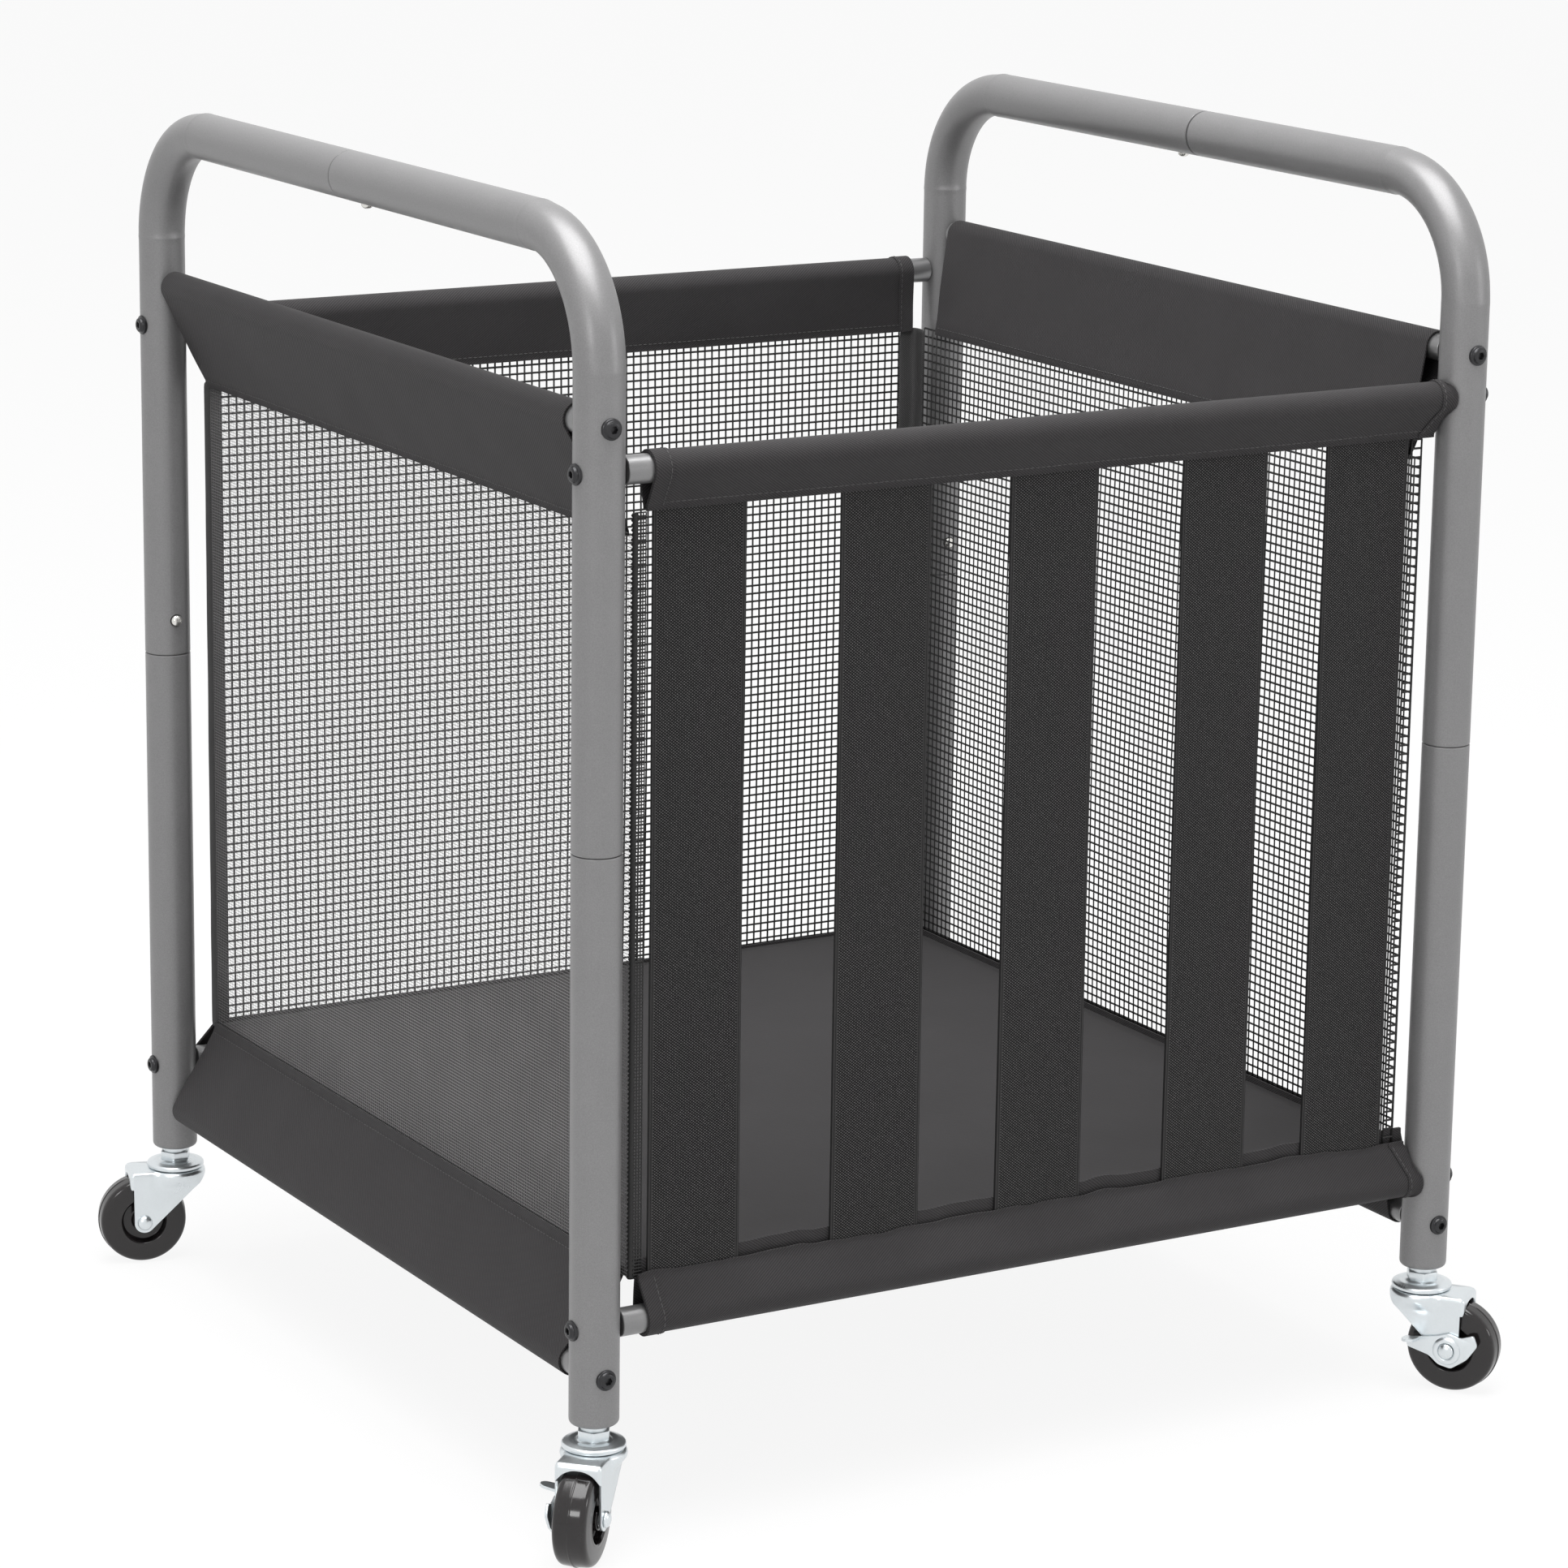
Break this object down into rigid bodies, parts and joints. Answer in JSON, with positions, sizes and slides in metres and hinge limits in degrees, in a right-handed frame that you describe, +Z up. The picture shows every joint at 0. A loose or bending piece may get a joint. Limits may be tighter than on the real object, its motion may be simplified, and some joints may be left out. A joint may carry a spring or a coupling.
{
  "type": "ball cart",
  "caption": "Rolling ball cart: bent tube frame with push handles on swivel casters, carrying an open fabric basket with net walls and a front of elastic straps.",
  "frame": {"origin": "on the ground under the middle of the cart's outer box", "axes": "+Z up, +Y from the strap front to the back, +X along the strap front from left to right"},
  "size_m": [0.6572, 0.6436, 0.739],
  "materials": {
    "tube": "satin silver-grey powder coat",
    "rail": "satin silver paint, ends cut flat",
    "zinc": "bright zinc plate",
    "brass": "yellow passivated, polished nose",
    "wheel": "glossy black moulding",
    "fabric": "charcoal oxford weave with a coated back",
    "net": "fine black square mesh",
    "strap": "woven black elastic with light flecks"
  },
  "bodies": {
    "frame": {"upper_tube_front_left": "tube", "lower_leg_front_left": "tube", "caster_stem_front_left": "zinc", "upper_tube_back_left": "tube", "lower_leg_back_left": "tube", "caster_stem_back_left": "zinc", "upper_tube_front_right": "tube", "lower_leg_front_right": "tube", "caster_stem_front_right": "zinc", "upper_tube_back_right": "tube", "lower_leg_back_right": "tube", "caster_stem_back_right": "zinc", "top_rail_left": "rail", "top_sleeve_left": "fabric", "top_rail_front": "rail", "top_sleeve_front": "fabric", "top_rail_right": "rail", "top_sleeve_right": "fabric", "top_rail_back": "rail", "top_sleeve_back": "fabric", "bottom_rail_left": "rail", "bottom_sleeve_left": "fabric", "bottom_rail_front": "rail", "bottom_sleeve_front": "fabric", "bottom_rail_right": "rail", "bottom_sleeve_right": "fabric", "bottom_rail_back": "rail", "bottom_sleeve_back": "fabric", "elastic_strap_1": "strap", "elastic_strap_2": "strap", "elastic_strap_3": "strap", "elastic_strap_4": "strap", "elastic_strap_5": "strap", "net_back": "net", "net_left": "net", "net_right": "net", "corner_band_left": "fabric", "corner_band_right": "fabric", "basket_floor": "fabric"},
    "leg_button_front_left": {"leg_snap_button_front_left": "brass"},
    "leg_button_back_left": {"leg_snap_button_back_left": "brass"},
    "leg_button_front_right": {"leg_snap_button_front_right": "brass"},
    "leg_button_back_right": {"leg_snap_button_back_right": "brass"},
    "handle_button_left": {"handle_snap_button_left": "brass"},
    "handle_button_right": {"handle_snap_button_right": "brass"},
    "swivel_front_left": {"caster_fork_front_left": "zinc", "caster_axle_front_left": "zinc"},
    "wheel_front_left": {"caster_wheel_front_left": "wheel"},
    "brake_front_left": {"brake_lever_front_left": "zinc"},
    "swivel_back_left": {"caster_fork_back_left": "zinc", "caster_axle_back_left": "zinc"},
    "wheel_back_left": {"caster_wheel_back_left": "wheel"},
    "swivel_front_right": {"caster_fork_front_right": "zinc", "caster_axle_front_right": "zinc"},
    "wheel_front_right": {"caster_wheel_front_right": "wheel"},
    "brake_front_right": {"brake_lever_front_right": "zinc"},
    "swivel_back_right": {"caster_fork_back_right": "zinc", "caster_axle_back_right": "zinc"},
    "wheel_back_right": {"caster_wheel_back_right": "wheel"}
  },
  "joints": [
    {"name": "leg_button_front_left_press", "type": "slide", "parent": "frame", "child": "leg_button_front_left", "axis": [0, -1, 0], "range_m": [0, 0.0042], "stiffness_N_per_m": 1500},
    {"name": "leg_button_back_left_press", "type": "slide", "parent": "frame", "child": "leg_button_back_left", "axis": [0, 1, 0], "range_m": [0, 0.0042], "stiffness_N_per_m": 1500},
    {"name": "leg_button_front_right_press", "type": "slide", "parent": "frame", "child": "leg_button_front_right", "axis": [0, -1, 0], "range_m": [0, 0.0042], "stiffness_N_per_m": 1500},
    {"name": "leg_button_back_right_press", "type": "slide", "parent": "frame", "child": "leg_button_back_right", "axis": [0, 1, 0], "range_m": [0, 0.0042], "stiffness_N_per_m": 1500},
    {"name": "handle_button_left_press", "type": "slide", "parent": "frame", "child": "handle_button_left", "axis": [0, 0, 1], "range_m": [0, 0.0042], "stiffness_N_per_m": 1500},
    {"name": "handle_button_right_press", "type": "slide", "parent": "frame", "child": "handle_button_right", "axis": [0, 0, 1], "range_m": [0, 0.0042], "stiffness_N_per_m": 1500},
    {"name": "swivel_front_left_turn", "type": "hinge", "parent": "frame", "child": "swivel_front_left", "pos_m": [-0.28009, -0.27814, 0.06], "axis": [0, 0, 1], "continuous": true},
    {"name": "wheel_front_left_spin", "type": "hinge", "parent": "swivel_front_left", "child": "wheel_front_left", "pos_m": [-0.29564, -0.2937, 0.028], "axis": [0.7071, -0.7071, 0], "continuous": true},
    {"name": "brake_front_left_press", "type": "hinge", "parent": "swivel_front_left", "child": "brake_front_left", "pos_m": [-0.29564, -0.2937, 0.028], "axis": [-0.7071, 0.7071, 0], "range_deg": [0, 25]},
    {"name": "swivel_back_left_turn", "type": "hinge", "parent": "frame", "child": "swivel_back_left", "pos_m": [-0.28009, 0.28686, 0.06], "axis": [0, 0, 1], "continuous": true},
    {"name": "wheel_back_left_spin", "type": "hinge", "parent": "swivel_back_left", "child": "wheel_back_left", "pos_m": [-0.30134, 0.29255, 0.028], "axis": [-0.2588, -0.9659, 0], "continuous": true},
    {"name": "swivel_front_right_turn", "type": "hinge", "parent": "frame", "child": "swivel_front_right", "pos_m": [0.28491, -0.27814, 0.06], "axis": [0, 0, 1], "continuous": true},
    {"name": "wheel_front_right_spin", "type": "hinge", "parent": "swivel_front_right", "child": "wheel_front_right", "pos_m": [0.29753, -0.29616, 0.028], "axis": [0.8192, 0.5736, 0], "continuous": true},
    {"name": "brake_front_right_press", "type": "hinge", "parent": "swivel_front_right", "child": "brake_front_right", "pos_m": [0.29753, -0.29616, 0.028], "axis": [-0.8192, -0.5736, 0], "range_deg": [0, 25]},
    {"name": "swivel_back_right_turn", "type": "hinge", "parent": "frame", "child": "swivel_back_right", "pos_m": [0.28491, 0.28686, 0.06], "axis": [0, 0, 1], "continuous": true},
    {"name": "wheel_back_right_spin", "type": "hinge", "parent": "swivel_back_right", "child": "wheel_back_right", "pos_m": [0.30293, 0.29948, 0.028], "axis": [-0.5736, 0.8192, 0], "continuous": true}
  ]
}
